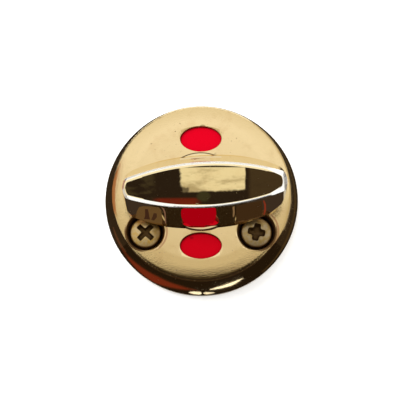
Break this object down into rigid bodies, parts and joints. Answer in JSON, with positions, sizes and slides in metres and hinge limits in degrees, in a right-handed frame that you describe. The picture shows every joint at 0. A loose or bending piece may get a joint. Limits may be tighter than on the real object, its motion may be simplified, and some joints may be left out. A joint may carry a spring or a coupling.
{
  "type": "bathroom thumb turn lock",
  "caption": "Deep round rose with a lens-shaped thumb turn across it, oval red indicator openings above and below, and recessed cover screws.",
  "frame": {"origin": "centre of the rose's back face, on the axis of the turn", "axes": "+Z out of the door along the axis of the turn, +X along the grip when the lock is locked, +Y away from the two cover screws"},
  "size_m": [0.052, 0.052, 0.0216],
  "materials": {
    "rose_brass": "polished, with fine scratches and pits",
    "turn_brass": "mirror polished, with worn edges",
    "upper_red": "smooth, slightly glossy",
    "lower_red": "smooth, slightly scuffed",
    "left_screw_brass": "brass plated, dulled",
    "right_screw_brass": "brass plated, plating worn to grey in the recess",
    "bush_bronze": "turned bronze",
    "washer_nylon": "natural",
    "spring_steel": "oiled, dark",
    "zinc_steel": "zinc plated"
  },
  "bodies": {
    "cover": {"rose": "rose_brass", "red_field_upper": "upper_red", "red_field_lower": "lower_red", "bearing_bush": "bush_bronze", "collar_washer": "washer_nylon", "thrust_washer": "washer_nylon", "wave_washer": "spring_steel", "mounting_plate": "zinc_steel", "pillar_left": "zinc_steel", "pillar_right": "zinc_steel", "stop_pin_locked": "zinc_steel", "stop_pin_unlocked": "zinc_steel", "cover_screw_left": "left_screw_brass", "cover_screw_right": "right_screw_brass"},
    "turn": {"thumb_turn": "turn_brass", "stop_cam": "zinc_steel", "retaining_ring": "spring_steel"}
  },
  "joints": [
    {"name": "turn_pivot", "type": "hinge", "parent": "cover", "child": "turn", "pos_m": [0, 0, 0], "axis": [0, 0, 1], "range_deg": [-2.6, 87.4]}
  ]
}
